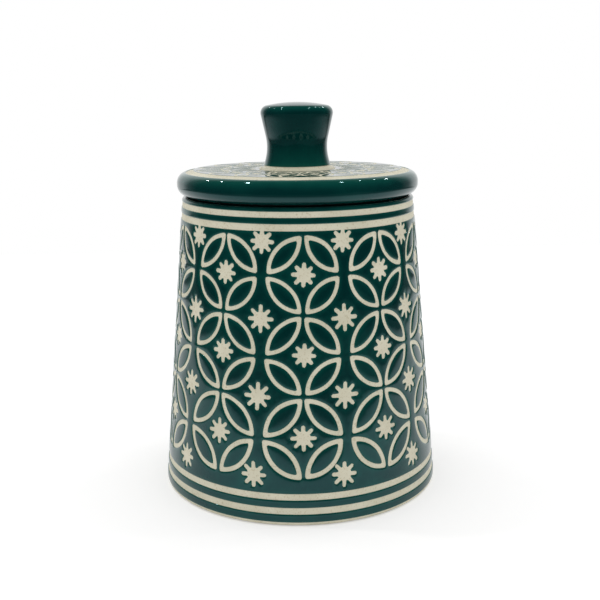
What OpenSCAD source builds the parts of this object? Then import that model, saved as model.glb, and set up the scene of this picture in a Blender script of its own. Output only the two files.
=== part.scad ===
// Olive jar: a tapered stoneware canister with a lift-off lid, a locating flange that wears a
// silicone ring, and a waisted knob. Bare clay shows as stripes, petal outlines and stars,
// where wax kept the thick green glaze off.
// The jar stands on z = 0, centred on the z axis. The front of its pattern faces -y.

/* [Jar] */
// Diameter over the glaze, the wall's slope carried down to the table
base_d = 120; // [104:1:140]
// Diameter over the glaze, the wall's slope carried up to the top of the rim
top_d = 98; // [90:1:120]
// Height of the jar alone, to the top of its glazed rim
jar_h = 124.6; // [110:1:170]
// Thickness of the clay wall
wall = 4.6; // [3.6:0.1:5.6]
// Thickness of the clay floor
floor_t = 6; // [4:0.5:9]
// Radius of the corner between wall and floor inside
heel_r = 8; // [4:0.5:14]
// Radius of the rim's two edges in the clay
rim_round = 1; // [0.6:0.1:1.6]
// Radius of the foot's outer edge
foot_round = 1.2; // [0.8:0.1:2.5]
// Width of the ring that the jar stands on
foot_ring_w = 8; // [5:0.5:12]
// Depth of the hollow under the floor, inside the foot ring
foot_recess = 1.2; // [0.6:0.1:2]

/* [Glaze] */
// Thickness of the glaze
glaze_t = 0.4; // [0.3:0.05:0.6]
// Height of the bare clay between the foot's rounding and the lowest glaze
foot_bare = 0.3; // [0.3:0.1:3]
// Width of a bare stripe round the jar
stripe_w = 2.6; // [1.5:0.1:4]
// Width of the glazed band between the two low stripes
low_band_w = 3.1; // [1.5:0.1:4]
// Width of the glazed band between the two high stripes
high_band_w = 2.4; // [1.5:0.1:4]
// Height of the glazed band below the lowest stripe
foot_band_h = 3.25; // [2:0.25:6]
// Height of the glazed band between the highest stripe and the rim's rounding
rim_band_h = 0.2; // [0:0.1:3]

/* [Pattern] */
// Stars in one row round the jar
jar_periods = 10; // [9:1:12]
// Width of the bare line that outlines a petal on the jar
line_w = 1.7; // [1:0.1:2]
// Width of a petal as a share of its length
petal_full = 0.45; // [0.36:0.01:0.47]
// Glaze between the tips of two petals in one circle of four, and between circles one above the other
tip_gap = 1.3; // [1:0.1:3]
// Glaze between two circles of petals side by side
circle_gap = 4; // [2:0.2:6]
// Glaze between the low stripe and the lowest petals
petal_foot = 5.3; // [3:0.1:7]
// Glaze between the high stripe and the highest petals
petal_head = 1; // [0.6:0.1:2]
// Height of the lowest stars' centres above the low stripe
star_foot = 7; // [6.5:0.1:9]
// Depth of the highest stars' centres below the high stripe, which their top rays run into
star_head = 3.9; // [3.6:0.1:4.4]
// Diameter over the rays of a star between the circles
star_d = 10.6; // [8:0.2:11.4]
// Diameter over the rays of a star inside a circle or in the top row
small_star_d = 9.4; // [8:0.2:9.8]
// Diameter of the star's centre, where its rays meet
star_core_d = 5.4; // [4:0.2:7]
// Stars round the lid
lid_periods = 16; // [12:1:18]
// Width of the bare line that outlines a petal on the lid
lid_line_w = 1; // [0.7:0.1:1.2]
// Glaze between neighbouring petals on the lid
lid_petal_gap = 0.7; // [0.5:0.1:1.5]
// Diameter over the rays of a star on the lid
lid_star_d = 7.4; // [5:0.2:8]
// Diameter of such a star's centre
lid_star_core_d = 3.6; // [2.6:0.2:4.4]

/* [Lid] */
// How far the lid stands out past the rim of the jar
lid_overhang = 1.9; // [1.5:0.1:4]
// Height of the lid's edge, glaze included
lid_h = 10.1; // [10:0.1:14]
// Radius of the edge's lower rounding
lid_low_r = 4.6; // [3.4:0.1:4.7]
// Radius of the edge's upper rounding
lid_top_r = 4.7; // [2.4:0.1:4.8]
// Thickness of the clay plate inside the flange
plate_t = 5.5; // [4:0.25:6.5]
// Depth of the locating flange below the lid's seat
flange_h = 9.5; // [9:0.5:14]
// Thickness of the flange where the silicone ring sits
flange_t = 4; // [3:0.25:5]
// Height of the lip that keeps the silicone ring on the flange
lip_h = 2.2; // [1.6:0.1:2.4]
// How far the lip stands out past the seat of the silicone ring
lip_out = 0.8; // [0.5:0.1:1]
// Radius of the lip's edges
lip_round = 0.8; // [0.4:0.1:1]
// Radius of the corner between flange and plate, inside
hollow_r = 2.5; // [1.5:0.25:3.5]
// Angle on the edge's lower rounding at which the glaze stops
low_glaze_a = -66; // [-80:1:-50]
// Width of the bare ring on top, between the glazed top and the glazed edge
lid_ring_w = 3.2; // [2:0.1:3.5]
// How steeply the bare ring falls towards the edge, in degrees
ring_slope = 12; // [4:1:14]
// Glaze between the petals and the bare ring near the edge
lid_edge_gap = 0.4; // [0.2:0.1:1.5]
// Glaze between the petals and the knob's collar
lid_foot_gap = 1.4; // [0.6:0.1:3]

/* [Seal] */
// Thickness of the ring's flat part, between lid and rim
seal_t = 0.9; // [0.8:0.1:1.6]
// Thickness of the ring's sleeve round the flange
sleeve_t = 1.2; // [0.9:0.1:1.6]
// Fins round the sleeve
fins = 3; // [2:1:3]
// How far a fin stands out from the sleeve
fin_w = 1.5; // [1.2:0.1:1.8]
// Thickness of a fin at its edge
fin_t = 0.5; // [0.4:0.1:0.7]
// How far a fin climbs from the sleeve to its edge
fin_rise = 0.8; // [0.4:0.1:1]
// Bare rim outside the ring's flat part
seal_inset = 0.8; // [0.5:0.1:1.4]
// Gap between the fins and the glazed mouth
fin_gap = 0.15; // [0.1:0.05:0.4]
// Running gap between the silicone ring and what it touches
run_gap = 0.05; // [0.03:0.01:0.1]

/* [Knob] */
// Diameter of the knob's waist
waist_d = 25.4; // [20:0.2:30]
// Radius of the hollow curve of the waist
waist_r = 20; // [14:1:26]
// Height of the waist above the lid's top
waist_h = 9; // [8.5:0.25:12]
// Largest diameter of the knob's head
head_d = 30.4; // [26:0.2:38]
// Height from the lid's top to the shoulder of the head
shoulder_h = 23; // [22:0.2:30]
// Radius of the head's shoulder
shoulder_r = 3.2; // [2:0.1:5]
// Radius of the slight dome on the head
dome_r = 60; // [40:5:200]
// Width of the bare collar outside the fillet at the knob's foot
collar_w = 1.2; // [1:0.1:4]
// Height of the collar's edge above the lid's clay
collar_h = 0.8; // [0.8:0.1:1.6]
// Radius of the collar's upper edge
collar_round = 0.6; // [0.3:0.1:0.7]
// Radius of the fillet from collar to knob
collar_fillet = 1.1; // [1:0.1:2.2]
// Diameter of the hollow core of the knob
core_d = 12; // [8:0.5:14]
// Clay between the hollow core and the top of the head
cap_t = 8; // [5:0.5:12]

/* [Hidden] */

clay_color = [0.83, 0.76, 0.66];
glaze_color = [0.03, 0.22, 0.21];
silicone_color = [0.07, 0.08, 0.08];

lean = atan((base_d - top_d)/2/jar_h);
glaze_x = glaze_t/cos(lean);
arc_steps = 8;
bare_steps = 2;
dome_steps = 3;
// How far a cutter reaches out past the glaze
cut_past = 1;
// Share of a petal's width that its two blunt tips take off its length
tip_cut = 0.125;
// Widths of outline that lie between the tips of a petal and of the glaze inside it
tip_lines = 3;

// Radii of the wall at height z, from the glaze outside to the glaze inside
function glazed_r(z) = base_d/2 - z*tan(lean);
function clay_r(z) = glazed_r(z) - glaze_x;
function bore_r(z) = clay_r(z) - wall/cos(lean);
function mouth_r(z) = bore_r(z) - glaze_x;

function arc_pts(c, r, a0, a1, n = arc_steps) =
    [for (k = [0:n]) let (a = a0 + (a1 - a0)*k/n) c + r*[cos(a), sin(a)]];
function flip(pts) = [for (k = [len(pts) - 1:-1:0]) pts[k]];
// The points after the first, where two stretches share one
function rest(pts) = [for (k = [1:len(pts) - 1]) pts[k]];
function turned(p, a) = [p[0]*cos(a) - p[1]*sin(a), p[0]*sin(a) + p[1]*cos(a)];

// Centres of the jar's roundings: foot, rim outside, rim inside, heel
foot_c = [clay_r(foot_round) - foot_round/cos(lean), foot_round];
rim_z = jar_h - glaze_t - rim_round;
rim_out_c = [clay_r(rim_z) - rim_round/cos(lean), rim_z];
rim_in_c = [bore_r(rim_z) + rim_round/cos(lean), rim_z];
heel_z = floor_t + heel_r;
heel_c = [bore_r(heel_z) - heel_r/cos(lean), heel_z];
foot_in = foot_c[0] - foot_ring_w;

// The rim and the inside, moved out from the clay by g
function rim_pts(g) = concat(
    arc_pts(rim_out_c, rim_round + g, lean, 90), arc_pts(rim_in_c, rim_round + g, 90, 180 + lean));
function inside_pts(g) = concat(arc_pts(heel_c, heel_r - g, lean, -90), [[0, floor_t + g]]);

// Heights of the stripes and of the patterned field between them
glaze_foot_z = foot_round + foot_bare;
low_stripe_z = glaze_foot_z + foot_band_h;
low_band_z = low_stripe_z + stripe_w;
field_z0 = low_band_z + low_band_w + stripe_w;
rim_band_z = rim_z - rim_band_h;
high_band_z = rim_band_z - stripe_w - high_band_w;
field_z1 = high_band_z - stripe_w;

// Rows where petals meet, and rows of stars, as shares of the petals' height. They climb unevenly,
// as laid out by hand
petal_share = [0, 0.173, 0.348, 0.508, 0.678, 0.836, 1];
star_share = [0, 0.178, 0.345, 0.516, 0.661, 0.838, 1];
rows = len(petal_share);
columns = 2*jar_periods;
column_a = 360/columns;
petal_z0 = field_z0 + petal_foot;
petal_z1 = field_z1 - petal_head;
function petal_z(j) = petal_z0 + petal_share[j]*(petal_z1 - petal_z0);
function star_z(j) =
    j == 0 ? field_z0 + star_foot
    : j == rows - 1 ? field_z1 - star_head
    : petal_z0 + star_share[j]*(petal_z1 - petal_z0);

// Lid, from the rim up: silicone, clay seat, plate
lid_d = top_d + 2*lid_overhang;
seat_z = jar_h + run_gap + seal_t + run_gap;
lid_z = seat_z - glaze_t;
top_z = lid_z + lid_h;
plate_z = top_z - glaze_t;
ceiling_z = plate_z - plate_t;
low_c = [lid_d/2 - lid_low_r, lid_z + lid_low_r];
// The bare ring falls from ring_in, on the flat top, to ring_out, where the upper rounding takes over
ring_out = lid_d/2 - lid_top_r + (lid_top_r - glaze_t)*sin(ring_slope);
ring_in = ring_out - lid_ring_w;
ring_out_z = plate_z - lid_ring_w*tan(ring_slope);
top_c = [lid_d/2 - lid_top_r, ring_out_z - (lid_top_r - glaze_t)*cos(ring_slope)];

// Silicone ring, from the mouth inwards
neck_r = mouth_r(rim_z);
fin_r = neck_r - fin_gap;
sleeve_out = fin_r - fin_w;
sleeve_in = sleeve_out - sleeve_t;
groove_r = sleeve_in - run_gap;
lip_r = groove_r + lip_out;
flange_in = groove_r - flange_t;
flange_z = seat_z - flange_h;
lip_z = flange_z + lip_h;
hollow_c = [flange_in - hollow_r, ceiling_z - hollow_r];
flange_foot_c = [flange_in + lip_round, flange_z + lip_round];
// The edge's two roundings in the clay, the lower one in a bare and a glazed stretch
low_bare = arc_pts(low_c, lid_low_r - glaze_t, -90, low_glaze_a, bare_steps);
low_glazed = arc_pts(low_c, lid_low_r - glaze_t, low_glaze_a, 0);
top_glazed = arc_pts(top_c, lid_top_r - glaze_t, 0, 90 - ring_slope);
seal_top = seat_z - run_gap;
seal_low = lip_z + run_gap;
seal_out = rim_out_c[0] - seal_inset;

// Knob
knob_glaze_z = plate_z + collar_h + collar_fillet;
waist_c = [waist_d/2 + waist_r, top_z + waist_h];
waist_a0 = 180 + asin((waist_c[1] - knob_glaze_z)/waist_r);
shoulder_c = [head_d/2 - shoulder_r, top_z + shoulder_h];
// The straight flare is the tangent line between the waist's curve and the shoulder's
flare_d = norm(waist_c - shoulder_c);
flare_a = atan2(shoulder_c[1] - waist_c[1], shoulder_c[0] - waist_c[0])
    - asin((waist_r + shoulder_r)/flare_d);
waist_a1 = flare_a + 90;
shoulder_a0 = flare_a - 90;
dome_c = [0, shoulder_c[1] - sqrt(pow(dome_r - shoulder_r, 2) - pow(shoulder_c[0], 2))];
dome_a = atan2(shoulder_c[1] - dome_c[1], shoulder_c[0]);
head_z = dome_c[1] + dome_r;
core_z = head_z - cap_t;
core_cone_h = core_d/4;
knob_foot_r = waist_c[0] + (waist_r + glaze_t)*cos(waist_a0);
collar_r = knob_foot_r + collar_fillet + collar_w;

// The knob above its collar, moved out from the clay by g
function knob_pts(g) = concat(
    arc_pts(waist_c, waist_r + glaze_t - g, waist_a0, waist_a1),
    arc_pts(shoulder_c, shoulder_r - glaze_t + g, shoulder_a0, dome_a),
    arc_pts(dome_c, dome_r - glaze_t + g, dome_a, 90, dome_steps));

// Pattern pieces

// A petal: two arcs that meet in blunt tips
module petal(l, w) {
    r = (l*l + w*w)/4/w;
    intersection() {
        translate([0, w/2 - r]) circle(r = r, $fn = 96);
        translate([0, r - w/2]) circle(r = r, $fn = 96);
        square([l - tip_cut*w, 2*w], center = true);
    }
}

// A star of eight rays
module star(d, core) {
    polygon([for (k = [0:15]) (k%2 == 0 ? d : core)/2*[cos(22.5*k), sin(22.5*k)]]);
}

// Stands a flat shape on the wall, at a column and a height, deep enough to pass the glaze
module on_wall(column, z) {
    rotate([0, 0, column*column_a - 90]) translate([glazed_r(z), 0, z])
        rotate([0, -lean, 0]) rotate([90, 0, 90])
            translate([0, 0, -wall/2]) linear_extrude(wall/2 + cut_past) children();
}

// Petals of the jar, drawn in by inset. Each fills a cell between two columns of stars, but for
// half a gap on every side, and lies nearer to the even column, the middle of its circle
module jar_petals(inset) {
    for (j = [0:rows - 2], i = [0:columns - 1]) {
        mid_z = (petal_z(j) + petal_z(j + 1))/2;
        across = glazed_r(mid_z)*column_a*PI/180;
        run = [across - (tip_gap + circle_gap)/2, petal_z(j + 1) - petal_z(j) - tip_gap];
        inwards = (i%2 == 0 ? -1 : 1)*(circle_gap - tip_gap)/4;
        side = (i + j)%2 == 0 ? 1 : -1;
        on_wall(i + 0.5, mid_z) translate([inwards, 0]) rotate(side*atan2(run[1], run[0]))
            petal(norm(run) - tip_lines*inset, petal_full*norm(run) - 2*inset);
    }
}

module jar_stars() {
    for (j = [0:rows - 1], i = [0:columns - 1])
        if ((i + j)%2 == 1) on_wall(i, star_z(j))
            star(j%2 == 1 || j == rows - 1 ? small_star_d : star_d, star_core_d);
}

// Petals of the lid, in an inner and an outer row that meet between the stars
lid_columns = 2*lid_periods;
lid_column_a = 360/lid_columns;
lid_row_in = collar_r + lid_foot_gap;
lid_row_out = ring_in - lid_edge_gap;
lid_row_mid = (lid_row_in + lid_row_out)/2;

module lid_petals(inset) {
    for (row = [[lid_row_mid, lid_row_in], [lid_row_mid, lid_row_out]], i = [0:lid_columns - 1]) {
        even_r = row[0];
        odd_r = row[1];
        p = turned([i%2 == 0 ? even_r : odd_r, 0], i*lid_column_a - 90);
        q = turned([i%2 == 0 ? odd_r : even_r, 0], (i + 1)*lid_column_a - 90);
        run = q - p;
        across = norm(p + q)/2*lid_column_a*PI/180;
        width = across*abs(odd_r - even_r)/norm(run) - lid_petal_gap;
        translate((p + q)/2) rotate(atan2(run[1], run[0]))
            petal(norm(run) - lid_petal_gap - tip_lines*inset, width - 2*inset);
    }
}

module lid_stars() {
    for (i = [1:2:lid_columns]) rotate(i*lid_column_a - 90) translate([lid_row_mid, 0])
        star(lid_star_d, lid_star_core_d);
}

// Sub-parts

// A closed ring of glaze between two heights of the outer wall
module wall_band(z0, z1) {
    rotate_extrude($fn = 96)
        polygon([[clay_r(z0), z0], [glazed_r(z0), z0], [glazed_r(z1), z1], [clay_r(z1), z1]]);
}

module jar_body() color(clay_color) {
    rotate_extrude($fn = 96) polygon(concat(
        [[foot_in, 0]], arc_pts(foot_c, foot_round, -90, lean),
        rim_pts(0), inside_pts(0), [[0, foot_recess], [foot_in, foot_recess]]));
}

module jar_glaze() color(glaze_color) {
    wall_band(glaze_foot_z, low_stripe_z);
    wall_band(low_band_z, low_band_z + low_band_w);
    wall_band(high_band_z, high_band_z + high_band_w);
    rotate_extrude($fn = 96) polygon(concat(
        [[clay_r(rim_band_z), rim_band_z], [glazed_r(rim_band_z), rim_band_z]],
        rim_pts(glaze_t), inside_pts(glaze_t), flip(inside_pts(0)), flip(rim_pts(0))));
}

// One unbroken sheet of glaze with a window for each petal and each star
module field_glaze() color(glaze_color) {
    difference() {
        wall_band(field_z0, field_z1);
        jar_petals(0);
        jar_stars();
    }
}

module petal_glaze() color(glaze_color) {
    intersection() {
        wall_band(field_z0, field_z1);
        jar_petals(line_w);
    }
}

module seal_ring() color(silicone_color) {
    rotate_extrude($fn = 96) {
        polygon([[sleeve_in, seal_low], [sleeve_out, seal_low], [sleeve_out, seal_top - seal_t],
            [seal_out, seal_top - seal_t], [seal_out, seal_top], [sleeve_in, seal_top]]);
        // Each fin starts inside the sleeve and thins towards its edge
        pitch = (seal_top - seal_t - seal_low)/fins;
        for (k = [0:fins - 1]) translate([sleeve_out, seal_low + pitch*k])
            polygon([[-sleeve_t/2, 0], [0, 0], [fin_w, fin_rise], [fin_w, fin_rise + fin_t],
                [0, 2*fin_t], [-sleeve_t/2, 2*fin_t]]);
    }
}

module lid_plate() color(clay_color) {
    rotate_extrude($fn = 96) polygon(concat(
        [[core_d/2, plate_z], [core_d/2, ceiling_z]],
        arc_pts(hollow_c, hollow_r, 90, 0), arc_pts(flange_foot_c, lip_round, 180, 270),
        arc_pts([lip_r - lip_round, flange_z + lip_round], lip_round, 270, 360),
        [[lip_r, lip_z], [groove_r, lip_z], [groove_r, seat_z]],
        low_bare, rest(low_glazed), top_glazed, [[ring_in, plate_z]]));
}

module lid_glaze() color(glaze_color) {
    rotate_extrude($fn = 96) polygon(concat(
        arc_pts(low_c, lid_low_r, low_glaze_a, 0), arc_pts(top_c, lid_top_r, 0, 90 - ring_slope),
        flip(top_glazed), flip(low_glazed)));
    rotate_extrude($fn = 96) polygon(concat(
        [[core_d/2, ceiling_z]], arc_pts(hollow_c, hollow_r, 90, 0),
        [[flange_in, lip_z], [flange_in - glaze_t, lip_z]],
        arc_pts(hollow_c, hollow_r - glaze_t, 0, 90), [[core_d/2, ceiling_z - glaze_t]]));
    translate([0, 0, plate_z]) {
        linear_extrude(glaze_t) difference() {
            circle(r = ring_in, $fn = 96);
            circle(r = collar_r + glaze_t/2, $fn = 96);
            lid_petals(0);
            lid_stars();
        }
        linear_extrude(glaze_t) lid_petals(lid_line_w);
    }
}

module knob() color(clay_color) {
    rotate_extrude($fn = 96) polygon(concat(
        [[core_d/2, plate_z], [collar_r, plate_z]],
        arc_pts([collar_r - collar_round, plate_z + collar_h - collar_round], collar_round, 0, 90),
        arc_pts([knob_foot_r + collar_fillet, knob_glaze_z], collar_fillet, 270, 180),
        knob_pts(0), [[0, core_z], [core_d/2, core_z - core_cone_h]]));
}

module knob_glaze() color(glaze_color) {
    rotate_extrude($fn = 96) polygon(concat(knob_pts(glaze_t), flip(knob_pts(0))));
}

jar_body();
jar_glaze();
field_glaze();
petal_glaze();
seal_ring();
lid_plate();
lid_glaze();
knob();
knob_glaze();
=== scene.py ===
import math
import random

import bmesh
import bpy
import numpy as np
from mathutils import Matrix, Vector, noise
from mathutils.geometry import delaunay_2d_cdt
from mathutils.kdtree import KDTree


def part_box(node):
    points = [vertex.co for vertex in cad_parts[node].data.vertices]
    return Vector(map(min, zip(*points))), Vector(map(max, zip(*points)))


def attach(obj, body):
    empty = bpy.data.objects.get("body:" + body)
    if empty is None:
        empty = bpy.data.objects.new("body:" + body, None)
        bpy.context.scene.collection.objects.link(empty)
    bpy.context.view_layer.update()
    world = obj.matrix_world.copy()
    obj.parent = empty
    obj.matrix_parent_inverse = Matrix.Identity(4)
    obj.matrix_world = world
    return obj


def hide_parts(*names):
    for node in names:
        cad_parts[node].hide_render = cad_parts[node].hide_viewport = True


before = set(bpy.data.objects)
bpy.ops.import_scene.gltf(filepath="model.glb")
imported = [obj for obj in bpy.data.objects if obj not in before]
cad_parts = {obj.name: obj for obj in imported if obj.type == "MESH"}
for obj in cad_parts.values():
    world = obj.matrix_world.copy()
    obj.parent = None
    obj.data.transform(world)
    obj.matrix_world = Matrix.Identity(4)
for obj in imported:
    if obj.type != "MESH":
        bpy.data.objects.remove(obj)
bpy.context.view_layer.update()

MM = 0.001
SEGMENTS = 240


def box_mm(node):
    """Lowest and highest corner of a CAD node, in millimetres."""
    low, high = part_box(node)
    return low / MM, high / MM


# Jar
jar_h = box_mm("jar_glaze")[1].z
glaze_t = jar_h - box_mm("jar_body")[1].z
base_r = 60.0
top_r = 49.0
lean = math.atan((base_r - top_r) / jar_h)
wall = 4.6
floor_t = 6.0
heel_r = 8.0
rim_round = 1.0
foot_round = 1.2
foot_ring_w = 8.0
foot_recess = 1.2
stripe_w = 2.6
low_band_w = 3.1
high_band_w = 2.4
foot_band_h = 3.25
rim_band_h = 0.2
rim_drop = 0.3
rim_glaze_run = 0.35
foot_glaze_z = box_mm("jar_glaze")[0].z
field_z0 = box_mm("field_glaze")[0].z
field_z1 = box_mm("field_glaze")[1].z

# Pattern of the jar
columns = 20
petal_share = [0, 0.173, 0.348, 0.508, 0.678, 0.836, 1]
star_share = [0, 0.178, 0.345, 0.516, 0.661, 0.838, 1]
rows = len(petal_share)
petal_z0 = field_z0 + 5.3
petal_z1 = field_z1 - 1.0
star_foot = 7.0
star_head = 3.9
tip_gap = 1.3
circle_gap = 4.0
petal_full = 0.44
petal_tip_r = 0.7
island_tip_r = 0.3
line_w = [1.7, 1.55, 1.5, 1.45, 1.4, 1.5]
star_r = [5.3, 5.3, 5.55, 4.8, 5.5, 4.85, 4.9]
star_core_r = 2.75
ray_half = 0.8
# The hand that laid out the pattern drifted a little to one side towards the foot, in degrees
petal_turn = [-0.9, -0.7, -0.5, -0.3, -0.1, 0.2]
star_turn = [-2.5, -0.6, -1.2, 0.2, -0.3, 0.4, 0.0]

# Pattern of the lid
lid_columns = 32
lid_foot_gap = 1.4
lid_edge_gap = 0.4
lid_line_w = 1.0
lid_petal_gap = 0.7
lid_tip_r = 0.35
lid_star_r = 3.0
lid_star_core_r = 1.7
lid_ray_half = 0.42

# Lid
lid_r = box_mm("lid_glaze")[1].x
lid_z = box_mm("lid_glaze")[1].z - 10.1
seat_z = lid_z + glaze_t
top_z = box_mm("lid_glaze")[1].z
plate_z = top_z - glaze_t
ceiling_z = plate_z - 5.5
low_round = 4.6
top_round = 4.7
low_glaze_a = -74
edge_drop = 0.45
ring_w = 3.2
ring_slope = 12
low_c = (lid_r - low_round, lid_z + low_round - edge_drop)
ring_out = lid_r - top_round + (top_round - glaze_t) * math.sin(math.radians(ring_slope))
ring_in = ring_out - ring_w
ring_out_z = plate_z - ring_w * math.tan(math.radians(ring_slope))
top_c = (lid_r - top_round, ring_out_z - (top_round - glaze_t) * math.cos(math.radians(ring_slope)))
flange_z = box_mm("lid_plate")[0].z
lip_z = flange_z + 2.2
lip_round = 0.8
hollow_r = 2.5

# Silicone ring
seal_low, seal_high = box_mm("seal_ring")
sleeve_in = 40.85
sleeve_out = 42.05
fin_r = 43.55
flat_t = 0.9
fins = 3
fin_t = 0.5
fin_rise = 0.8
seal_edge = 0.25
groove_r = sleeve_in - 0.05
lip_r = groove_r + 0.8
flange_in = groove_r - 4.0

# Knob
core_r = 6.0
collar_h = 0.8
collar_round = 0.6
collar_fillet = 1.1
collar_w = 1.2
waist_r = 12.7
waist_curve = 20.0
waist_h = 9.0
head_r = 15.2
shoulder_h = 23.0
shoulder_r = 3.2
dome_r = 60.0
knob_glaze_z = plate_z + collar_h + collar_fillet

# Shape of the glaze: a rounded edge, as a share of its thickness, its width, and a slow swell
# behind it. The lid's is a flat pillow.
jar_shape = (0.62, 0.3, 2.4)
lid_shape = (1.0, 0.9, 2.4)
uneven_share = 0.09
uneven_len = 11.0
lid_uneven_share = 0.02
lid_relief = 0.1
outline_step = 0.85
ring_steps = [(0.06, 1), (0.16, 1), (0.3, 1), (0.6, 2), (1.1, 2), (1.9, 3)]
grid_step = 2.7


def glaze_height(distance, shape=jar_shape):
    """Thickness of the glaze at a distance from its edge."""
    share, edge_w, swell_w = shape
    edge = np.clip(1 - distance / edge_w, 0, 1)
    swell = np.clip(1 - distance / swell_w, 0, 1)
    return glaze_t * (share * np.sqrt(1 - edge**2) + (1 - share) * (1 - swell**2))


def uneven(point, share=uneven_share):
    """How much thicker or thinner the glaze is at a point, as a factor."""
    p = Vector(point) / uneven_len
    return 1 + share * (noise.noise(p) + 0.4 * noise.noise(p * 2.7))


def arc(center, radius, start, end, steps=10):
    """Points on an arc from one angle to another, in degrees."""
    out = []
    for k in range(steps + 1):
        a = math.radians(start + (end - start) * k / steps)
        out.append((center[0] + radius * math.cos(a), center[1] + radius * math.sin(a)))
    return out


def glazed_r(z):
    return base_r - z * math.tan(lean)


def clay_r(z):
    return glazed_r(z) - glaze_t / math.cos(lean)


def bore_r(z):
    return clay_r(z) - wall / math.cos(lean)


def make_piece(name, points, faces, material, body, nodes=(), thickness=None, sharp=50):
    """A mesh object from points in millimetres, that rides on a body and stands for CAD nodes."""
    mesh = bpy.data.meshes.new(name)
    mesh.from_pydata([tuple(c * MM for c in p) for p in points], [], faces)
    # For the lid's and knob's coats this thickness layer also carries painted light on their upward-facing parts.
    if thickness is not None:
        layer = mesh.attributes.new("thickness", "FLOAT", "POINT")
        layer.data.foreach_set("value", np.asarray(thickness, np.float32))
    work = bmesh.new()
    work.from_mesh(mesh)
    bmesh.ops.remove_doubles(work, verts=work.verts, dist=0.002 * MM)
    bmesh.ops.dissolve_degenerate(work, edges=work.edges, dist=0.0005 * MM)
    slits = [edge for edge in work.edges if edge.is_boundary]
    bmesh.ops.holes_fill(work, edges=slits, sides=0)
    bmesh.ops.recalc_face_normals(work, faces=work.faces)
    work.to_mesh(mesh)
    work.free()
    mesh.shade_smooth()
    mesh.set_sharp_from_angle(angle=math.radians(sharp))
    piece = bpy.data.objects.new(name, mesh)
    bpy.context.scene.collection.objects.link(piece)
    mesh.materials.append(material)
    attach(piece, body)
    if nodes:
        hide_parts(*nodes)
    return piece


def revolve(section, closed=True):
    """Points and faces of a section of (r, z) turned round the z axis."""
    points, faces, rings = [], [], []
    for r, z in section:
        if r < 1e-6:
            rings.append([len(points)])
            points.append((0.0, 0.0, z))
        else:
            rings.append(list(range(len(points), len(points) + SEGMENTS)))
            for k in range(SEGMENTS):
                a = 2 * math.pi * k / SEGMENTS
                points.append((r * math.cos(a), r * math.sin(a), z))
    count = len(rings)
    for i in range(count if closed else count - 1):
        low, high = rings[i], rings[(i + 1) % count]
        if len(low) == 1 and len(high) == 1:
            continue
        for k in range(SEGMENTS):
            m = (k + 1) % SEGMENTS
            quad = [low[k % len(low)], low[m % len(low)], high[m % len(high)], high[k % len(high)]]
            faces.append(list(dict.fromkeys(quad)))
    return points, faces


def resampled(path, first_free, last_free):
    """A path of (r, z) with points close together near its free ends, and each point's distance to them."""
    p = np.array(path)
    along = np.concatenate([[0], np.cumsum(np.hypot(*np.diff(p, axis=0).T))])
    length = along[-1]
    near = [0.0] + [d for d, _ in ring_steps if d < length / 2]
    marks = set(along[(along > 0) & (along < length)])
    if first_free:
        marks = {m for m in marks if m > near[-1]} | set(near)
    if last_free:
        marks = {m for m in marks if m < length - near[-1]} | {length - d for d in near}
    marks = np.array(sorted(marks | {0.0, length}))
    marks = marks[np.concatenate([[True], np.diff(marks) > 0.01])]
    out = np.stack([np.interp(marks, along, p[:, 0]), np.interp(marks, along, p[:, 1])], 1)
    step = 0.01
    ahead = np.stack([np.interp(marks + step, along, p[:, 0]), np.interp(marks + step, along, p[:, 1])], 1)
    behind = np.stack([np.interp(marks - step, along, p[:, 0]), np.interp(marks - step, along, p[:, 1])], 1)
    tangent = ahead - behind
    tangent /= np.linalg.norm(tangent, axis=1)[:, None]
    distance = np.full(len(marks), 1e3)
    if first_free:
        distance = np.minimum(distance, marks)
    if last_free:
        distance = np.minimum(distance, length - marks)
    return out, tangent, distance


def coat(path, side, first_free=True, last_free=True, thin_and_lit=None):
    """A skin of glaze over a path of (r, z) on the clay. Side is +1 where it lies left of the path.

    The last argument gives the share of the glaze's colour that is left at (r, z), kept with the glaze's
    thickness: partly glaze that ran thin off a round edge, partly painted light on parts that face up towards the
    lamps.
    """
    base, tangent, distance = resampled(path, first_free, last_free)
    normal = side * np.stack([-tangent[:, 1], tangent[:, 0]], 1)
    on_axis = base[:, 0] < 1e-6
    normal[on_axis, 0] = 0.0
    height = glaze_height(distance)
    thin_and_lit_shares = [thin_and_lit(r, z) if thin_and_lit else 1.0 for r, z in base]
    points, faces, heights = [], [], []
    count = len(base)
    for k in range(SEGMENTS):
        a = 2 * math.pi * k / SEGMENTS
        c, s = math.cos(a), math.sin(a)
        for (r, z), n, h in zip(base, normal, height):
            points.append((r * c, r * s, z))
            heights.append(0.0)
        for (r, z), n, h, tint in zip(base, normal, height, thin_and_lit_shares):
            h = h * uneven((r * c, r * s, z))
            r2 = max(r + n[0] * h, 0.0)
            points.append((r2 * c, r2 * s, z + n[1] * h))
            # On the lid's edge and the knob this stored thickness is lowered by painted light as well as by real
            # thinning.
            heights.append(h * tint / glaze_t)
    for k in range(SEGMENTS):
        here, there = k * 2 * count, (k + 1) % SEGMENTS * 2 * count
        for i in range(count - 1):
            for shift in (0, count):
                a, b = here + shift + i, there + shift + i
                faces.append((a, b, b + 1, a + 1))
    return points, faces, heights


def joined(parts):
    """Several sets of points, faces and heights as one."""
    points, faces, heights = [], [], []
    for p, f, h in parts:
        start = len(points)
        points += list(p)
        faces += [tuple(i + start for i in face) for face in f]
        heights += list(h)
    return points, faces, heights


# Flat outlines of the pattern, in millimetres


def spaced(path, step):
    """A closed outline with points at equal steps."""
    p = np.array(path + [path[0]])
    along = np.concatenate([[0], np.cumsum(np.hypot(*np.diff(p, axis=0).T))])
    count = max(12, round(along[-1] / step))
    marks = np.linspace(0, along[-1], count, endpoint=False)
    return np.stack([np.interp(marks, along, p[:, 0]), np.interp(marks, along, p[:, 1])], 1)


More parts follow.
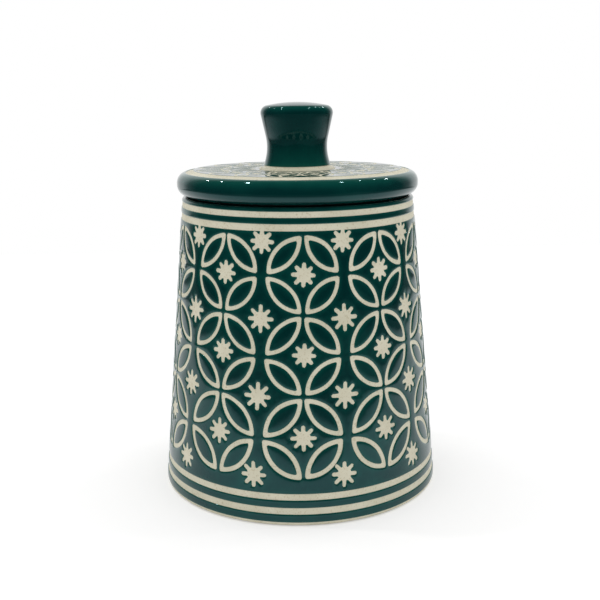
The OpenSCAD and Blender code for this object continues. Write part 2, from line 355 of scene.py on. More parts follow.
def petal(length, width, tip_r):
    """Two arcs that meet in round tips, along x."""
    tip_x = length / 2 - tip_r
    r = (tip_x**2 + width**2 / 4 - tip_r**2) / (width - 2 * tip_r)
    rise = math.degrees(math.atan2(tip_x, r - width / 2))
    path = arc((0, width / 2 - r), r, 90 - rise, 90 + rise, 60)
    path += arc((-tip_x, 0), tip_r, 90 + rise, 270 - rise, 10)
    path += arc((0, r - width / 2), r, 270 - rise, 270 + rise, 60)
    path += arc((tip_x, 0), tip_r, rise - 90, 90 - rise, 10)
    return path


def star(radius, core, half, dice):
    """Eight round-ended rays round a disc, drawn a little unevenly."""
    path = []
    root = math.degrees(math.asin(half / core))
    for k in range(8):
        turn = 45 * k + dice.uniform(-1.5, 1.5)
        reach = radius * dice.uniform(0.95, 1.04)
        end = half * dice.uniform(0.88, 1.08)
        ray = [(core * math.cos(math.radians(-root)), -half)]
        ray += arc((reach - end, 0), end, -90, 90, 10)
        ray += [(core * math.cos(math.radians(root)), half)]
        path += rotated(ray, turn)
        path += arc((0, 0), core, turn + root + 3, turn + 42 - root, 3)
    return path


def rotated(path, degrees, shift=(0, 0)):
    c, s = math.cos(math.radians(degrees)), math.sin(math.radians(degrees))
    return [(x * c - y * s + shift[0], x * s + y * c + shift[1]) for x, y in path]


def drawn(path, seed, step, wave=0.05):
    """An outline at equal steps, with the small waver of a hand-cut line."""
    dice = random.Random(seed)
    p = spaced(path, step)
    turns = np.linspace(0, 2 * math.pi, len(p), endpoint=False)
    waver = sum(dice.uniform(-1, 1) * np.sin(turns * k + dice.uniform(0, 6.3)) / math.sqrt(k) for k in range(2, 9))
    return p + outward(p) * (wave * waver)[:, None]


def outward(p):
    """Unit normals of a closed anticlockwise outline."""
    t = np.roll(p, -1, 0) - np.roll(p, 1, 0)
    n = np.stack([t[:, 1], -t[:, 0]], 1)
    return n / np.linalg.norm(n, axis=1)[:, None]


def edge_distance(points, outlines):
    """Distance from each point to the nearest of some closed outlines."""
    corners = np.concatenate(outlines)
    following = np.concatenate([np.roll(o, -1, 0) for o in outlines])
    before = np.concatenate([np.roll(np.arange(len(o)), 1) for o in outlines])
    starts = np.repeat(np.cumsum([0] + [len(o) for o in outlines[:-1]]), [len(o) for o in outlines])
    before = before + starts
    tree = KDTree(len(corners))
    for i, (x, y) in enumerate(corners):
        tree.insert((x, y, 0), i)
    tree.balance()
    near = np.array([[i for _, i, _ in tree.find_n((x, y, 0), 6)] for x, y in points])
    best = np.full(len(points), 1e9)
    for column in range(near.shape[1]):
        for side in (near[:, column], before[near[:, column]]):
            a, b = corners[side], following[side]
            ab, ap = b - a, points - a
            t = np.clip((ab * ap).sum(1) / (ab * ab).sum(1), 0, 1)
            best = np.minimum(best, np.hypot(*(ap - ab * t[:, None]).T))
    return best


def triangles(polygons, loose):
    """Triangles inside the first polygon and outside the others, with the points that they use."""
    points, faces = [], []
    for polygon in polygons:
        faces.append(list(range(len(points), len(points) + len(polygon))))
        points += [Vector(p) for p in polygon]
    points += [Vector(p) for p in loose]
    out = delaunay_2d_cdt(points, [], faces, 0, 1e-5, True)
    kept = [f for f, inside in zip(out[2], out[5]) if set(inside) == {0}]
    used = sorted({i for f in kept for i in f})
    place = {old: new for new, old in enumerate(used)}
    return np.array([out[0][i][:] for i in used]), [tuple(place[i] for i in f) for f in kept]


def ring_points(outlines, sign):
    """Points at set distances from some outlines: outside them for +1, inside for -1."""
    out, wanted = [], []
    for outline in outlines:
        normal = outward(outline) * sign
        for number, (distance, stride) in enumerate(ring_steps):
            ring = (outline + normal * distance)[number % stride::stride]
            out.append(ring)
            wanted.append(np.full(len(ring), distance))
    return np.concatenate(out), np.concatenate(wanted)


def grid(low, high, step):
    """A triangular grid of points between two corners."""
    out = []
    for row, y in enumerate(np.arange(low[1], high[1], step * math.sqrt(3) / 2)):
        for x in np.arange(low[0] + row % 2 * step / 2, high[0], step):
            out.append((x, y))
    return np.array(out)


def flat_skin(region, holes, free_edges, extra, inside, shape=jar_shape):
    """Top and bottom of a patterned sheet of glaze, flat: points, triangles and heights.

    Region is its outline and holes the windows in it. Free edges are the outlines at which it
    thins out, extra more points near the region's own edges, and inside tells which points lie in it.
    """
    rings, wanted = ring_points(holes, 1)
    keep = inside(rings) & (edge_distance(rings, free_edges) > wanted * 0.93)
    rings = rings[keep]
    filling = grid(region.min(0), region.max(0), grid_step)
    filling = filling[inside(filling)]
    filling = filling[edge_distance(filling, free_edges) > ring_steps[-1][0] + 0.6]
    extra = extra[edge_distance(extra, free_edges) > 0.05]
    loose = np.concatenate([rings, filling, extra])
    top, top_faces = raised_triangles([region] + holes, loose, free_edges)
    bottom, bottom_faces = triangles([region] + holes, filling)
    return top, top_faces, glaze_height(edge_distance(top, free_edges), shape), bottom, bottom_faces


def raised_triangles(polygons, loose, free_edges):
    """Triangles with a point added wherever one would bridge a gap between two free edges."""
    for _ in range(4):
        points, faces = triangles(polygons, loose)
        low = edge_distance(points, free_edges) < 1e-3
        count = {}
        for f in faces:
            for a, b in zip(f, f[1:] + f[:1]):
                key = (min(a, b), max(a, b))
                count[key] = count.get(key, 0) + 1
        bridges = [k for k, n in count.items() if n == 2 and low[k[0]] and low[k[1]]]
        if not bridges:
            break
        middle = np.array([(points[a] + points[b]) / 2 for a, b in bridges])
        loose = np.concatenate([loose, middle])
    return points, faces


def wrapped(sheet, surface, share=uneven_share, scale=1.0):
    """A flat skin laid on the clay, closed top to bottom. Scale thins it down."""
    top, top_faces, height, bottom, bottom_faces = sheet
    points, heights = [], []
    for p, h in zip(top, height):
        place, normal = surface(p)
        h = h * uneven(place, share)
        points.append(place + normal * h * scale)
        heights.append(h / glaze_t)
    start = len(points)
    for p in bottom:
        points.append(surface(p)[0])
        heights.append(0.0)
    faces = list(top_faces) + [tuple(i + start for i in reversed(f)) for f in bottom_faces]
    return points, faces, heights


def island_skin(outline, shape=jar_shape):
    """A small closed island of glaze inside an outline."""
    rings, wanted = ring_points([outline], -1)
    rings = rings[edge_distance(rings, [outline]) > wanted * 0.93]
    filling = grid(outline.min(0), outline.max(0), grid_step / 2)
    reach = edge_distance(filling, [outline])
    inside = [point_inside(p, outline) for p in filling]
    filling = filling[(reach > ring_steps[-1][0]) & np.array(inside)]
    rings = rings[[point_inside(p, outline) for p in rings]]
    top, top_faces = raised_triangles([outline], np.concatenate([rings, filling]), [outline])
    bottom, bottom_faces = triangles([outline], filling)
    return top, top_faces, glaze_height(edge_distance(top, [outline]), shape), bottom, bottom_faces


def point_inside(p, outline):
    """Whether a point lies inside a closed outline."""
    a, b = outline, np.roll(outline, -1, 0)
    crosses = (a[:, 1] > p[1]) != (b[:, 1] > p[1])
    with np.errstate(divide="ignore", invalid="ignore"):
        x = a[:, 0] + (p[1] - a[:, 1]) * (b[:, 0] - a[:, 0]) / (b[:, 1] - a[:, 1])
    return bool((crosses & (x > p[0])).sum() % 2)


# The wall as a flat sheet: the cone rolled out, with x round it and y up its slope
seam_a = math.pi / 2
front_a = -math.pi / 2
slant0 = base_r / math.sin(lean)


def roll_out(angle, z):
    """Flat place of a point on the wall. The front is at x = 0 and the seam at the back."""
    slant = glazed_r(z) / math.sin(lean)
    turn = (angle - front_a) * math.sin(lean)
    return np.array([slant * math.sin(turn), slant0 - slant * math.cos(turn)])


def roll_up(p):
    """The clay under a flat point, and the wall's normal there."""
    x, y = p[0], slant0 - p[1]
    slant = math.hypot(x, y)
    angle = front_a + math.atan2(x, y) / math.sin(lean)
    r = slant * math.sin(lean)
    z = (base_r - r) / math.tan(lean)
    c, s = math.cos(angle), math.sin(angle)
    normal = Vector((c * math.cos(lean), s * math.cos(lean), math.sin(lean)))
    return Vector((r * c, r * s, z)) - normal * glaze_t, normal


def petal_z(j):
    return petal_z0 + petal_share[j] * (petal_z1 - petal_z0)


def star_z(j):
    if j == 0:
        return field_z0 + star_foot
    if j == rows - 1:
        return field_z1 - star_head
    return petal_z0 + star_share[j] * (petal_z1 - petal_z0)


def column_angle(i):
    return front_a + i * 2 * math.pi / columns


def wall_turn(angle):
    """How far the flat sheet turns a shape that stands upright at an angle, in degrees."""
    return math.degrees((angle - front_a) * math.sin(lean))


def jar_petals(kind, cells):
    """Outlines of the petals in some cells, or of the glaze inside them, on the flat sheet."""
    out = []
    for i in cells:
        for j in range(rows - 1):
            dice = random.Random(f"petal {i % columns} {j}")
            z = (petal_z(j) + petal_z(j + 1)) / 2
            angle = column_angle(i + 0.5) + math.radians(petal_turn[j])
            across = glazed_r(z) * 2 * math.pi / columns - (tip_gap + circle_gap) / 2
            high = petal_z(j + 1) - petal_z(j) - tip_gap
            run = (across - 2 * petal_tip_r, high - 2 * petal_tip_r)
            length = math.hypot(*run) + 2 * petal_tip_r
            width = petal_full * math.hypot(across, high)
            side = 1 if (i + j) % 2 == 0 else -1
            inwards = (-1 if i % 2 == 0 else 1) * (circle_gap - tip_gap) / 4
            tilt = side * math.degrees(math.atan2(run[1], run[0])) + dice.uniform(-0.8, 0.8)
            length *= dice.uniform(1.0, 1.025)
            width *= dice.uniform(0.97, 1.03)
            shift = (inwards + dice.uniform(-0.15, 0.15), dice.uniform(-0.15, 0.15))
            tip_r = petal_tip_r
            if kind == "island":
                length -= 3.1 * line_w[j]
                width -= 2.1 * line_w[j]
                tip_r = island_tip_r
            center = roll_out(angle, z)
            path = rotated(petal(length, width, tip_r), tilt, shift)
            path = rotated(path, wall_turn(angle), center)
            out.append(drawn(path, f"{kind} {i % columns} {j}", outline_step))
    return out


def jar_stars():
    out = []
    for i in range(-columns // 2, columns // 2 + 1):
        for j in range(rows):
            if (i + j) % 2 == 0:
                continue
            dice = random.Random(f"star {i % columns} {j}")
            angle = column_angle(i) + math.radians(star_turn[j])
            path = star(star_r[j], star_core_r, ray_half, dice)
            path = rotated(path, dice.uniform(-3, 3))
            path = rotated(path, wall_turn(angle), roll_out(angle, star_z(j)))
            out.append(drawn(path, f"star line {i % columns} {j}", outline_step, 0.02))
    return out


def field_coat():
    """The unbroken sheet of glaze round the petals and stars."""
    half = columns // 2
    holes = jar_petals("petal", range(-half - 1, half + 1)) + jar_stars()
    left, right = front_a - math.pi, front_a + math.pi
    count = round(2 * math.pi * base_r / 1.2)
    ends = np.linspace(left, right, count)
    low = np.array([roll_out(a, field_z0) for a in ends])
    high = np.array([roll_out(a, field_z1) for a in ends])
    beyond = 2.0
    low_out = np.array([roll_out(a, field_z0 - beyond) for a in ends[::-1]])
    high_out = np.array([roll_out(a, field_z1 + beyond) for a in ends[::-1]])
    free = holes + [np.concatenate([low, low_out])] + [np.concatenate([high, high_out])]
    seam = seam_heights(free)
    left_side = np.array([roll_out(left, z) for z in seam])
    right_side = np.array([roll_out(right, z) for z in seam])
    region = np.concatenate([low, right_side, high[::-1], left_side[::-1]])
    extra = []
    for z_edge, sign in ((field_z0, 1), (field_z1, -1)):
        for number, (distance, stride) in enumerate(ring_steps):
            z = z_edge + sign * distance * math.cos(lean)
            extra += [roll_out(a, z) for a in ends[1 + number % stride:-1:stride]]
    margin = 0.02

    def inside(points):
        y = slant0 - points[:, 1]
        slant = np.hypot(points[:, 0], y)
        turn = np.abs(np.arctan2(points[:, 0], y))
        r = slant * math.sin(lean)
        in_height = (r < glazed_r(field_z0) - margin) & (r > glazed_r(field_z1) + margin)
        return in_height & (turn < math.pi * math.sin(lean) - margin / slant0)

    return wrapped(flat_skin(region, holes, free, np.array(extra), inside), roll_up)


def seam_heights(free):
    """Heights of the points on the seam, closer together near the edges of the glaze."""
    out, z = [], field_z0 + 0.07
    while z < field_z1 - 0.07:
        out.append(z)
        gap = edge_distance(np.array([roll_out(front_a + math.pi, z)]), free)[0]
        z += min(max(0.4 * gap, 0.07), 2.0)
    return out


def petal_coat():
    cells = range(-columns // 2, columns // 2)
    return joined([wrapped(island_skin(o), roll_up) for o in jar_petals("island", cells)])


# Lid's top, flat as it is
def on_lid(p):
    return Vector((p[0], p[1], top_z - lid_relief)), Vector((0, 0, 1))


def lid_rows():
    inner = collar_r + lid_foot_gap
    outer = ring_in - lid_edge_gap
    return inner, (inner + outer) / 2, outer


def lid_petals(kind):
    """Outlines of the lid's petals, or of the glaze inside them."""
    inner, middle, outer = lid_rows()
    step = 2 * math.pi / lid_columns
    out = []
    for far in (inner, outer):
        for i in range(lid_columns):
            dice = random.Random(f"lid petal {far > middle} {i}")
            a, b = front_a + i * step, front_a + (i + 1) * step
            ra, rb = (middle, far) if i % 2 == 0 else (far, middle)
            p = np.array([ra * math.cos(a), ra * math.sin(a)])
            q = np.array([rb * math.cos(b), rb * math.sin(b)])
            run = q - p
            reach = math.hypot(*run)
            across = np.linalg.norm(p + q) / 2 * step
            width = across * abs(far - middle) / reach - lid_petal_gap
            length = reach - lid_petal_gap - 0.3
            tip_r = lid_tip_r
            if kind == "island":
                length -= 3 * lid_line_w
                width -= 2 * lid_line_w
                tip_r = lid_tip_r / 2
            width *= dice.uniform(0.97, 1.03)
            tilt = math.degrees(math.atan2(run[1], run[0])) + dice.uniform(-1, 1)
            path = rotated(petal(length, width, tip_r), tilt, (p + q) / 2)
            out.append(drawn(path, f"lid {kind} {far > middle} {i}", 0.6, 0.02))
    return out


def lid_stars():
    middle = lid_rows()[1]
    out = []
    for i in range(1, lid_columns, 2):
        dice = random.Random(f"lid star {i}")
        angle = 360 * i / lid_columns - 90
        path = star(lid_star_r, lid_star_core_r, lid_ray_half, dice)
        center = (middle * math.cos(math.radians(angle)), middle * math.sin(math.radians(angle)))
        out.append(drawn(rotated(path, angle, center), f"lid star line {i}", 0.5, 0.015))
    return out


def circle(radius, step):
    return np.array(arc((0, 0), radius, 0, 360, round(2 * math.pi * radius / step))[:-1])


def lid_pattern():
    """The glaze on top of the lid between the knob's collar and the bare ring."""
    inner, outer = circle(collar_r + glaze_t / 2, 0.8), circle(ring_in, 1.2)
    holes = [inner] + lid_petals("petal") + lid_stars()
    extra = []
    for distance, stride in ring_steps:
        extra += list((outer * (1 - distance / ring_in))[::stride])

    def inside(points):
        r = np.hypot(*points.T)
        return (r < ring_in - 0.02) & (r > collar_r + glaze_t / 2 + 0.02)

    sheets = [flat_skin(outer, holes, holes + [outer], np.array(extra), inside, lid_shape)]
    sheets += [island_skin(o, lid_shape) for o in lid_petals("island")]
    return joined([wrapped(sheet, on_lid, lid_uneven_share, lid_relief / glaze_t) for sheet in sheets])


# Paths of the clay's surface under the glaze, as (r, z)
foot_c = (clay_r(foot_round) - foot_round / math.cos(lean), foot_round)
rim_z = jar_h - glaze_t - rim_round - rim_drop
rim_out_c = (clay_r(rim_z) - rim_round / math.cos(lean), rim_z)
rim_in_c = (bore_r(rim_z) + rim_round / math.cos(lean), rim_z)
heel_z = floor_t + heel_r
heel_c = (bore_r(heel_z) - heel_r / math.cos(lean), heel_z)
lean_deg = math.degrees(lean)
low_stripe_z = foot_glaze_z + foot_band_h
low_band_z = low_stripe_z + stripe_w
rim_band_z = rim_z + rim_drop - rim_band_h
high_band_z = rim_band_z - stripe_w - high_band_w

waist_c = (waist_r + waist_curve, top_z + waist_h)
waist_a0 = 180 + math.degrees(math.asin((waist_c[1] - knob_glaze_z) / waist_curve))
shoulder_c = (head_r - shoulder_r, top_z + shoulder_h)
flare_d = math.dist(waist_c, shoulder_c)
flare_a = math.degrees(math.atan2(shoulder_c[1] - waist_c[1], shoulder_c[0] - waist_c[0]))
flare_a -= math.degrees(math.asin((waist_curve + shoulder_r) / flare_d))
dome_c = (0.0, shoulder_c[1] - math.sqrt((dome_r - shoulder_r) ** 2 - shoulder_c[0] ** 2))
dome_a = math.degrees(math.atan2(shoulder_c[1] - dome_c[1], shoulder_c[0]))
knob_foot_r = waist_c[0] + (waist_curve + glaze_t) * math.cos(math.radians(waist_a0))
collar_r = knob_foot_r + collar_fillet + collar_w


def inside_path(steps=14):
    return arc(heel_c, heel_r, lean_deg, -90, steps) + [(0.0, floor_t)]


def rim_path():
    return arc(rim_out_c, rim_round, lean_deg, 90, 8) + arc(rim_in_c, rim_round, 90, 180 + lean_deg, 8)


def knob_path():
    return (
        arc(waist_c, waist_curve + glaze_t, waist_a0, flare_a + 90, 24)
        + arc(shoulder_c, shoulder_r - glaze_t, flare_a - 90, dome_a, 14)
        + arc(dome_c, dome_r - glaze_t, dome_a, 90, 8)
    )


def with_steps(path, step):
    """A path with extra points on its long straight stretches."""
    out = [path[0]]
    for a, b in zip(path, path[1:]):
        count = max(1, round(math.dist(a, b) / step))
        for k in range(1, count + 1):
            out.append((a[0] + (b[0] - a[0]) * k / count, a[1] + (b[1] - a[1]) * k / count))
    return out


def wall_band(z0, z1):
    return coat(with_steps([(clay_r(z0), z0), (clay_r(z1), z1)], 0.6), -1)


def build_jar(clay, glaze):
    foot_in = foot_c[0] - foot_ring_w
    section = [(foot_in, 0.0)] + arc(foot_c, foot_round, -90, lean_deg, 8) + rim_path() + inside_path()
    section += [(0.0, foot_recess), (foot_in, foot_recess)]
    points, faces = revolve(section)
    make_piece("jar_clay", points, faces, clay, "jar", ["jar_body"])
    rim_glaze_z = rim_band_z - rim_glaze_run
    rim = [(clay_r(rim_glaze_z), rim_glaze_z)] + rim_path() + inside_path()
    bands = [
        wall_band(foot_glaze_z, low_stripe_z),
        wall_band(low_band_z, low_band_z + low_band_w),
        wall_band(high_band_z, high_band_z + high_band_w),
        coat(with_steps(rim, 3.0), -1, True, False),
    ]
    points, faces, heights = joined(bands)
    make_piece("jar_coat", points, faces, glaze, "jar", ["jar_glaze"], heights)
    points, faces, heights = field_coat()
    make_piece("field_coat", points, faces, glaze, "jar", ["field_glaze"], heights)
    points, faces, heights = petal_coat()
    make_piece("petal_coat", points, faces, glaze, "jar", ["petal_glaze"], heights)


def build_seal(silicone):
    top, low = seal_high.z, seal_low.z
    out = seal_high.x
    section = arc((out - seal_edge, top - seal_edge), seal_edge, 0, 90, 4)
    section += [(sleeve_in, top), (sleeve_in, low), (sleeve_out, low)]
    pitch = (top - flat_t - low) / fins
    for k in range(fins):
        z = low + pitch * k
        tip = (fin_r - fin_t / 2, z + fin_rise + fin_t / 2)
        section += arc(tip, fin_t / 2, -60, 80, 6)
        section += [(sleeve_out, z + 2 * fin_t), (sleeve_out, min(z + pitch, top - flat_t))]
    section += [(out - seal_edge, top - flat_t)]
    section += arc((out - seal_edge, top - flat_t + seal_edge), seal_edge, -90, 0, 4)[1:]
    points, faces = revolve(section)
    make_piece("seal", points, faces, silicone, "seal", ["seal_ring"])


def eased(x):
    """A smooth step from 0 to 1."""
    x = min(max(x, 0.0), 1.0)
    return x * x * (3 - 2 * x)


# Painted light: the lid's glaze colour grows lighter up its round edge towards the top, where it faces the ceiling
# lamps; glaze thinning over the edge is a smaller part of it.
def lid_thin_and_lit(r, z):
    return 1 - 0.45 * eased((z - low_c[1] - 0.5) / (ring_out_z - low_c[1] - 0.5))


# Painted light: the knob's glaze colour is lighter at its flared foot and on its upper shoulder, the parts that
# face up towards the lamps; on the shoulder glaze thinning over the round is part of it.
def knob_thin_and_lit(r, z):
    foot = eased((top_z + waist_h + 3 - z) / 12)
    shoulder = eased((z - shoulder_c[1]) / 2.5) * (1 - eased((z - dome_c[1] - dome_r + 2.4) / 1.5))
    return 1 - 0.3 * foot - 0.4 * shoulder


def build_lid(clay, glaze):
    hollow_c = (flange_in - hollow_r, ceiling_z - hollow_r)
    pattern_z = top_z - lid_relief
    section = [(core_r, pattern_z), (core_r, ceiling_z)] + arc(hollow_c, hollow_r, 90, 0)
    section += arc((flange_in + lip_round, flange_z + lip_round), lip_round, 180, 270, 8)
    section += arc((lip_r - lip_round, flange_z + lip_round), lip_round, 270, 360, 8)
    section += [(lip_r, lip_z), (groove_r, lip_z), (groove_r, seat_z), (seal_high.x + 0.15, seat_z)]
    section += arc(low_c, low_round - glaze_t, -90, low_glaze_a, 4)
    section += arc(low_c, low_round - glaze_t, low_glaze_a, 0, 14)[1:]
    section += arc(top_c, top_round - glaze_t, 0, 90 - ring_slope, 14)
    section += [(ring_in + 0.3, plate_z - 0.05), (ring_in + 0.05, pattern_z - 0.04), (ring_in - 0.1, pattern_z)]
    points, faces = revolve(section)
    make_piece("lid_clay", points, faces, clay, "lid", ["lid_plate"])
    edge = arc(low_c, low_round - glaze_t, low_glaze_a, 0, 24)
    edge += arc(top_c, top_round - glaze_t, 0, 90 - ring_slope, 20)
    under = [(core_r, ceiling_z)] + arc(hollow_c, hollow_r, 90, 0, 12) + [(flange_in, lip_z)]
    parts = [coat(with_steps(edge, 0.8), -1, thin_and_lit=lid_thin_and_lit), coat(with_steps(under, 2.0), -1), lid_pattern()]
    points, faces, heights = joined(parts)
    make_piece("lid_coat", points, faces, glaze, "lid", ["lid_glaze"], heights)


def build_knob(clay, glaze):
    top = dome_c[1] + dome_r - 8.0
    section = [(core_r, top_z - lid_relief), (collar_r, top_z - lid_relief)]
    section += arc((collar_r - collar_round, plate_z + collar_h - collar_round), collar_round, 0, 90, 6)
    section += arc((knob_foot_r + collar_fillet, knob_glaze_z), collar_fillet, 270, 180, 10)
    section += knob_path() + [(0.0, top), (core_r, top - core_r / 2)]
    points, faces = revolve(section)
    make_piece("knob_clay", points, faces, clay, "lid", ["knob"])
    points, faces, heights = coat(with_steps(knob_path(), 1.2), -1, True, False, knob_thin_and_lit)
    make_piece("knob_coat", points, faces, glaze, "lid", ["knob_glaze"], heights)


# Materials
def new_material(name):
    """A material with its Principled shader and a function that adds and links nodes."""
    material = bpy.data.materials.new(name)
    material.use_nodes = True
    tree = material.node_tree
    shader = tree.nodes["Principled BSDF"]

    def add(kind, inputs=None, **settings):
        node = tree.nodes.new(kind)
        for key, value in settings.items():
            setattr(node, key, value)
        for key, value in (inputs or {}).items():
            if isinstance(value, bpy.types.NodeSocket):
                tree.links.new(value, node.inputs[key])
            else:
                node.inputs[key].default_value = value
        return node

    return material, tree, shader, add


def color_ramp(add, source, stops):
    ramp = add("ShaderNodeValToRGB", {"Fac": source})
    ramp.color_ramp.elements[0].position, ramp.color_ramp.elements[0].color = stops[0][0], (*stops[0][1], 1)
    ramp.color_ramp.elements[1].position, ramp.color_ramp.elements[1].color = stops[-1][0], (*stops[-1][1], 1)
    for position, color in stops[1:-1]:
        ramp.color_ramp.elements.new(position).color = (*color, 1)
    return ramp.outputs["Color"]


def glaze_material():
    """Deep teal glaze: darker where it is thick, greener where it thins at an edge, and lighter with painted light
    where the stored thickness was lowered on the lid's top edge and the knob's foot and shoulder.
    """
    material, tree, shader, add = new_material("green_glaze")
    place = add("ShaderNodeTexCoord").outputs["Object"]
    # The thickness attribute also carries painted light on the upward-facing parts of the lid's edge and the knob.
    thick = add("ShaderNodeAttribute", attribute_name="thickness").outputs["Fac"]
    cloud = add("ShaderNodeTexNoise", {"Vector": place, "Scale": 60.0, "Detail": 3.0}).outputs["Fac"]
    mix = add("ShaderNodeMath", {0: cloud, 1: 0.5}, operation="SUBTRACT").outputs[0]
    mix = add("ShaderNodeMath", {0: mix, 1: 0.5, 2: thick}, operation="MULTIPLY_ADD").outputs[0]
    stops = [(0.3, (0.008, 0.085, 0.062)), (0.7, (0.002, 0.046, 0.038)), (1.0, (0.0006, 0.023, 0.022))]
    tree.links.new(color_ramp(add, mix, stops), shader.inputs["Base Color"])
    shader.inputs["Roughness"].default_value = 0.05
    shader.inputs["IOR"].default_value = 1.5
    shader.inputs["Specular Tint"].default_value = (0.5, 0.95, 1, 1)
    fine = add("ShaderNodeTexNoise", {"Vector": place, "Scale": 450.0, "Detail": 2.0}).outputs["Fac"]
    bump = add("ShaderNodeBump", {"Height": fine, "Strength": 0.05, "Distance": 0.0002})
    tree.links.new(bump.outputs["Normal"], shader.inputs["Normal"])
    return material


def clay_material():
    """Sandy bare stoneware with fine specks."""
    material, tree, shader, add = new_material("clay")
    place = add("ShaderNodeTexCoord").outputs["Object"]
    cloud = add("ShaderNodeTexNoise", {"Vector": place, "Scale": 90.0, "Detail": 5.0}).outputs["Fac"]
    base = color_ramp(add, cloud, [(0.3, (0.635, 0.6, 0.455)), (0.7, (0.735, 0.7, 0.55))])
    grain = add("ShaderNodeTexNoise", {"Vector": place, "Scale": 1400.0, "Detail": 2.0}).outputs["Fac"]
    speck = color_ramp(add, grain, [(0.30, (0.82, 0.78, 0.70)), (0.44, (1.0, 1.0, 1.0))])
    blend = add("ShaderNodeMix", data_type="RGBA", blend_type="MULTIPLY")
    blend.inputs["Factor"].default_value = 1.0
    tree.links.new(base, blend.inputs[6])
    tree.links.new(speck, blend.inputs[7])
    tree.links.new(blend.outputs[2], shader.inputs["Base Color"])
    shader.inputs["Roughness"].default_value = 0.5
    bump = add("ShaderNodeBump", {"Height": grain, "Strength": 0.25, "Distance": 0.00015})
    tree.links.new(bump.outputs["Normal"], shader.inputs["Normal"])
    return material


def silicone_material():
    """Dark grey silicone with a soft sheen and a little dust."""
    material, tree, shader, add = new_material("silicone")
    place = add("ShaderNodeTexCoord").outputs["Object"]
    dust = add("ShaderNodeTexNoise", {"Vector": place, "Scale": 300.0, "Detail": 4.0}).outputs["Fac"]
    tree.links.new(
        color_ramp(add, dust, [(0.35, (0.003, 0.0035, 0.0035)), (0.75, (0.008, 0.009, 0.009))]),
        shader.inputs["Base Color"],
    )
    shader.inputs["Roughness"].default_value = 0.6
    shader.inputs["Specular IOR Level"].default_value = 0.25
    return material


clay = clay_material()
glaze = glaze_material()
silicone = silicone_material()
build_jar(clay, glaze)
build_seal(silicone)
build_lid(clay, glaze)
build_knob(clay, glaze)


# Studio: a white sheet, and a room that is dark in front of the jar
soft_light = 0.9


def build_floor():
    mesh = bpy.data.meshes.new("floor")
    side, front, back = 0.9, -0.7, 0.6
    corners = [(-side, front, 0), (side, front, 0), (side, back, 0), (-side, back, 0)]
    mesh.from_pydata(corners, [], [(0, 1, 2, 3)])
    floor = bpy.data.objects.new("floor", mesh)
    bpy.context.scene.collection.objects.link(floor)
    floor.location.z = -0.0002
    material, tree, shader, add = new_material("floor")
    shader.inputs["Base Color"].default_value = (0.78, 0.78, 0.78, 1)
    shader.inputs["Roughness"].default_value = 0.9
    shader.inputs["Specular IOR Level"].default_value = 0.0
    path = add("ShaderNodeLightPath").outputs
    seen = add("ShaderNodeMath", {0: path["Is Camera Ray"], 1: path["Is Glossy Ray"]}, operation="MAXIMUM")
    seen = add("ShaderNodeMath", {0: seen.outputs[0], 1: path["Is Transmission Ray"]}, operation="MAXIMUM")
    seen = add("ShaderNodeMath", {0: seen.outputs[0], 1: 0.31}, operation="MULTIPLY")
    glow = add("ShaderNodeEmission", {"Strength": seen.outputs[0]})
    both = add("ShaderNodeAddShader", {0: shader.outputs[0], 1: glow.outputs[0]})
    place = add("ShaderNodeTexCoord").outputs["Object"]
    place = add("ShaderNodeVectorMath", {0: place, 1: (0, 0.3, 0)}, operation="SUBTRACT").outputs["Vector"]
    away = add("ShaderNodeVectorMath", {0: place}, operation="LENGTH").outputs["Value"]
    fade = add("ShaderNodeMapRange", {"Value": away}, interpolation_type="SMOOTHSTEP")
    fade.inputs["From Min"].default_value = 0.43
    fade.inputs["From Max"].default_value = 0.64
    fade = add("ShaderNodeMath", {0: path["Is Glossy Ray"], 1: fade.outputs[0]}, operation="MULTIPLY")
    dim = add("ShaderNodeBsdfDiffuse", {"Color": (0.12, 0.12, 0.12, 1)})
    seen = add("ShaderNodeMixShader", {"Fac": fade.outputs[0], 1: both.outputs[0], 2: dim.outputs[0]})
    tree.links.new(seen.outputs[0], tree.nodes["Material Output"].inputs["Surface"])
    mesh.materials.append(material)


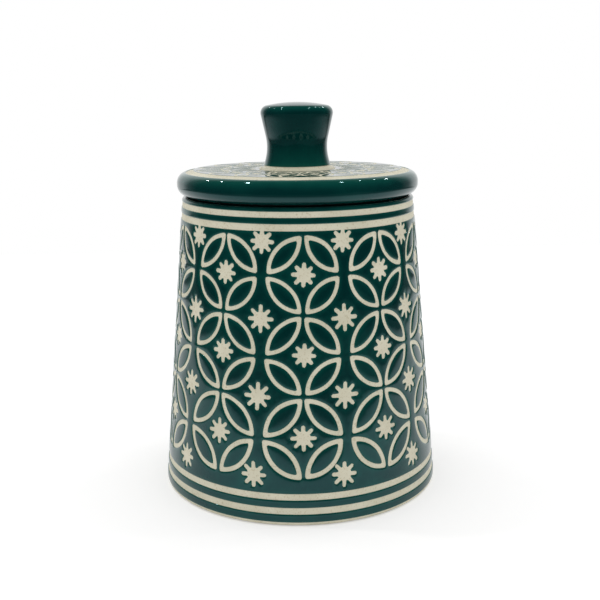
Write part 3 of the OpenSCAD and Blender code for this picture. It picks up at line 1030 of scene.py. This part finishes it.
def build_world():
    """White all round for the camera and for soft light; mirrored light is dark towards -y."""
    world = bpy.data.worlds.new("studio")
    bpy.context.scene.world = world
    world.use_nodes = True
    tree = world.node_tree

    def add(kind, **settings):
        node = tree.nodes.new(kind)
        for key, value in settings.items():
            setattr(node, key, value)
        return node

    soft = tree.nodes["Background"]
    soft.inputs["Color"].default_value = (1, 1, 1, 1)
    soft.inputs["Strength"].default_value = soft_light
    white = add("ShaderNodeBackground")
    white.inputs["Color"].default_value = (1, 1, 1, 1)
    place = add("ShaderNodeTexCoord")
    parts = add("ShaderNodeSeparateXYZ")
    tree.links.new(place.outputs["Generated"], parts.inputs[0])
    ramp = add("ShaderNodeValToRGB")
    stops = ramp.color_ramp.elements
    stops[0].position, stops[0].color = 0.0, (0.012, 0.014, 0.014, 1)
    stops[1].position, stops[1].color = 1.0, (1, 1, 1, 1)
    stops.new(0.68).color = (0.035, 0.038, 0.038, 1)
    stops.new(0.79).color = (0.25, 0.26, 0.26, 1)
    stops.new(0.88).color = (0.95, 0.95, 0.95, 1)
    turn = add("ShaderNodeMapRange")
    turn.inputs["From Min"].default_value = -1
    tree.links.new(parts.outputs["Y"], turn.inputs["Value"])
    tree.links.new(turn.outputs["Result"], ramp.inputs["Fac"])
    room = add("ShaderNodeBackground")
    tree.links.new(ramp.outputs["Color"], room.inputs["Color"])
    path = add("ShaderNodeLightPath")
    mirrored = add("ShaderNodeMixShader")
    seen = add("ShaderNodeMixShader")
    tree.links.new(path.outputs["Is Glossy Ray"], mirrored.inputs["Fac"])
    tree.links.new(soft.outputs[0], mirrored.inputs[1])
    tree.links.new(room.outputs[0], mirrored.inputs[2])
    straight = add("ShaderNodeMath", operation="MAXIMUM")
    tree.links.new(path.outputs["Is Camera Ray"], straight.inputs[0])
    tree.links.new(path.outputs["Is Transmission Ray"], straight.inputs[1])
    tree.links.new(straight.outputs[0], seen.inputs["Fac"])
    tree.links.new(mirrored.outputs[0], seen.inputs[1])
    tree.links.new(white.outputs[0], seen.inputs[2])
    tree.links.new(seen.outputs[0], tree.nodes["World Output"].inputs["Surface"])


def build_lamp(name, place, aim, size, power):
    data = bpy.data.lights.new(name, "AREA")
    data.shape = "DISK"
    data.size = size
    data.energy = power
    lamp = bpy.data.objects.new(name, data)
    lamp.location = place
    lamp.rotation_euler = (Vector(aim) - Vector(place)).to_track_quat("-Z", "Y").to_euler()
    bpy.context.scene.collection.objects.link(lamp)


def build_spots():
    """Small ceiling lamps in two rows, whose reflections glint on the lid's edge and the knob."""
    ceiling = 1.1
    rows_of_spots = [(-0.47, 0.11, 0.045), (-0.72, 0.45, 0.028), (-0.87, 0.82, 0.034)]
    rows_of_spots += [(0.41, 0.06, 0.03), (0.59, 0.24, 0.03), (0.73, 0.48, 0.024), (0.86, 0.78, 0.03)]
    for number, (x, y, size) in enumerate(rows_of_spots):
        place = (x * (ceiling - 0.135), y * (ceiling - 0.135), ceiling)
        radiance = 190.0
        power = radiance * math.pi * math.pi * size * size / 4
        build_lamp(f"spot_{number}", place, (0, 0, 0.1), size, power)


# Camera, from a fit to the jar's stripes and outline: distance and height, then its turns
camera_d = 0.4000
camera_h = 0.1664
camera_pitch = math.radians(12.47)
camera_yaw = math.radians(0.08)
camera_roll = math.radians(0.60)
camera_round = math.radians(-1.9)
focal_px = 937.0
frame_px = 600.0
sensor_mm = 36.0


def build_camera():
    data = bpy.data.cameras.new("camera")
    data.sensor_width = sensor_mm
    data.lens = focal_px / frame_px * sensor_mm
    data.clip_start = 0.01
    camera = bpy.data.objects.new("camera", data)
    bpy.context.scene.collection.objects.link(camera)
    level = math.cos(camera_pitch)
    forward = (math.sin(camera_yaw) * level, math.cos(camera_yaw) * level, -math.sin(camera_pitch))
    forward = Vector(forward)
    right = Vector((math.cos(camera_yaw), -math.sin(camera_yaw), 0))
    down = forward.cross(right)
    right, down = (
        math.cos(camera_roll) * right + math.sin(camera_roll) * down,
        math.cos(camera_roll) * down - math.sin(camera_roll) * right,
    )
    turn = Matrix((right, -down, -forward)).transposed().to_4x4()
    turn.translation = (0, -camera_d, camera_h)
    camera.matrix_world = Matrix.Rotation(camera_round, 4, "Z") @ turn
    bpy.context.scene.camera = camera


build_floor()
build_world()
build_spots()
build_camera()
bpy.context.scene.view_settings.view_transform = "Standard"
